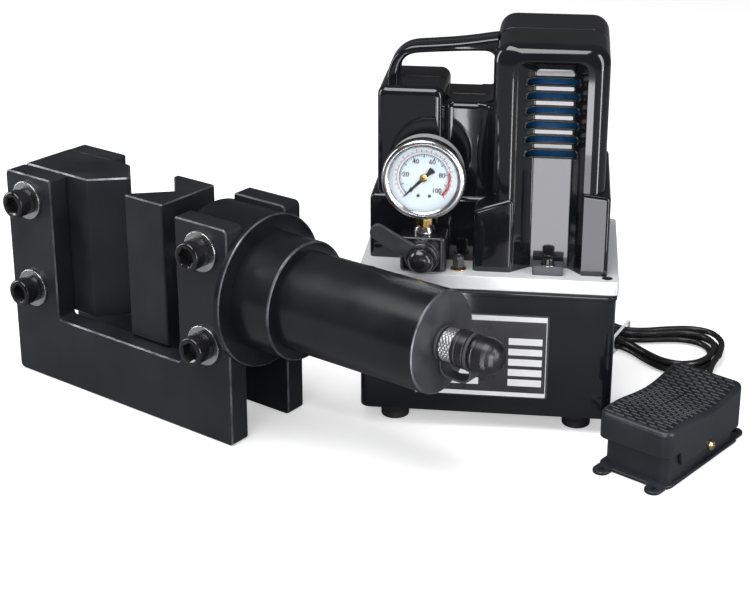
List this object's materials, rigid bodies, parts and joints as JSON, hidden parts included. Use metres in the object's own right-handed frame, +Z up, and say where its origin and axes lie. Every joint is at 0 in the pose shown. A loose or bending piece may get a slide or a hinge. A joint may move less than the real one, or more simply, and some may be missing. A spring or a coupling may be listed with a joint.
{
  "type": "hydraulic busbar bender",
  "caption": "Bench bender for busbars: a U-frame head with nose and vee dies and a hydraulic cylinder, an electric oil pump with gauge and release lever, and a foot switch on a lead.",
  "frame": {"origin": "middle of the front side plate's underside, on the bench", "axes": "+X along the hydraulic cylinder from the nose die to the oil coupling, +Y from the front side plate to the rear one, +Z up"},
  "size_m": [0.5855, 0.4474, 0.328],
  "materials": {
    "blackened_steel": "semi-gloss black oxide with bright edges",
    "machined_steel": "ground",
    "bolt_black": "glossy black oxide",
    "zinc": "bright zinc plate",
    "spring_steel": "drawn wire",
    "nickel": "nickel plate",
    "seal_polymer": "satin",
    "bronze": "turned",
    "black_rubber": "matte",
    "tank_enamel": "glossy black enamel",
    "plate_aluminium": "milled",
    "label_film": "printed film, blank cells",
    "cover_gloss": "moulded, high gloss",
    "grey_iron": "machined",
    "motor_blue": "blue enamel",
    "copper_winding": "varnished winding",
    "brass": "turned",
    "yellow_zinc": "yellow zinc plate",
    "gauge_glass": "clear",
    "dial_face": "white printed dial",
    "pointer_black": "matte black",
    "pedal_plastic": "satin moulded",
    "device_grey": "satin",
    "button_red": "moulded",
    "lead_jacket": "satin cable jacket",
    "tie_white": "translucent white"
  },
  "bodies": {
    "frame": {"side_plate_front": "blackened_steel", "side_plate_rear": "blackened_steel", "frame_bolts": "bolt_black", "frame_washers": "zinc", "frame_nuts": "bolt_black", "nose_die": "blackened_steel", "return_spring": "spring_steel", "cylinder_block": "blackened_steel", "wiper_seal": "seal_polymer", "guide_ring": "bronze", "gland_collar": "blackened_steel", "cylinder_barrel": "blackened_steel", "coupler_nipple": "nickel", "cap_strap": "black_rubber", "oil_tank": "tank_enamel", "drain_plug": "bolt_black", "tank_gasket": "black_rubber", "tank_top_plate": "plate_aluminium", "plate_screws": "bolt_black", "rubber_feet": "black_rubber", "foot_screws": "zinc", "rating_plate": "label_film", "pump_block": "grey_iron", "pump_plungers": "machined_steel", "pump_bolts": "bolt_black", "suction_strainer": "brass", "motor_flange": "plate_aluminium", "motor_case": "motor_blue", "motor_stator": "copper_winding", "motor_bearings": "machined_steel", "cover_front": "cover_gloss", "cover_rear": "cover_gloss", "cover_bracket": "zinc", "vent_plug": "yellow_zinc", "control_relay": "device_grey", "valve_body": "tank_enamel", "valve_neck": "nickel", "gauge_stem": "brass", "gauge_case": "nickel", "gauge_bezel": "nickel", "gauge_glass": "gauge_glass", "gauge_dial": "dial_face", "pedal_base": "pedal_plastic", "pedal_screws": "yellow_zinc", "treadle_spring": "spring_steel", "foot_microswitch": "device_grey", "foot_lead": "lead_jacket", "lead_hank": "lead_jacket", "hank_tie": "tie_white"},
    "ram": {"ram": "machined_steel", "piston_seal": "seal_polymer", "vee_die": "blackened_steel", "die_screw": "bolt_black"},
    "lever": {"valve_lever": "tank_enamel"},
    "needle": {"gauge_pointer": "pointer_black"},
    "rotor": {"motor_rotor": "machined_steel", "motor_fan": "device_grey"},
    "treadle": {"pedal_treadle": "pedal_plastic"},
    "button": {"switch_button": "button_red"},
    "cap": {"dust_cap": "black_rubber"}
  },
  "joints": [
    {"name": "ram_slide", "type": "slide", "parent": "frame", "child": "ram", "axis": [-1, 0, 0], "range_m": [0, 0.045], "stiffness_N_per_m": 4000, "springref_m": -0.02, "deforming": ["return_spring"]},
    {"name": "valve_turn", "type": "hinge", "parent": "frame", "child": "lever", "pos_m": [0.22775, 0.11795, 0.153], "axis": [0.5, -0.866, 0], "range_deg": [0, 75]},
    {"name": "needle_turn", "type": "hinge", "parent": "frame", "child": "needle", "pos_m": [0.22475, 0.12314, 0.2175], "axis": [-0.5, 0.866, 0], "range_deg": [0, 270], "stiffness_Nm_per_rad": 0.0005},
    {"name": "motor_spin", "type": "hinge", "parent": "frame", "child": "rotor", "pos_m": [0.27784, 0.23, 0.138], "axis": [0, 0, 1], "continuous": true},
    {"name": "treadle_tilt", "type": "hinge", "parent": "frame", "child": "treadle", "pos_m": [0.42056, 0.20598, 0.015], "axis": [-0.9976, 0.0698, 0], "range_deg": [0, 6], "stiffness_Nm_per_rad": 5, "springref_deg": -3.44, "deforming": ["treadle_spring"]},
    {"name": "switch_press", "type": "slide", "parent": "frame", "child": "button", "axis": [0, 0, -1], "range_m": [0, 0.0018]},
    {"name": "cap_pull", "type": "slide", "parent": "frame", "child": "cap", "axis": [1, 0, 0], "range_m": [0, 0.03], "deforming": ["cap_strap"]}
  ],
  "couplings": [
    {"joint": "switch_press", "follows": "treadle_tilt", "m_per_rad": 0.016}
  ]
}
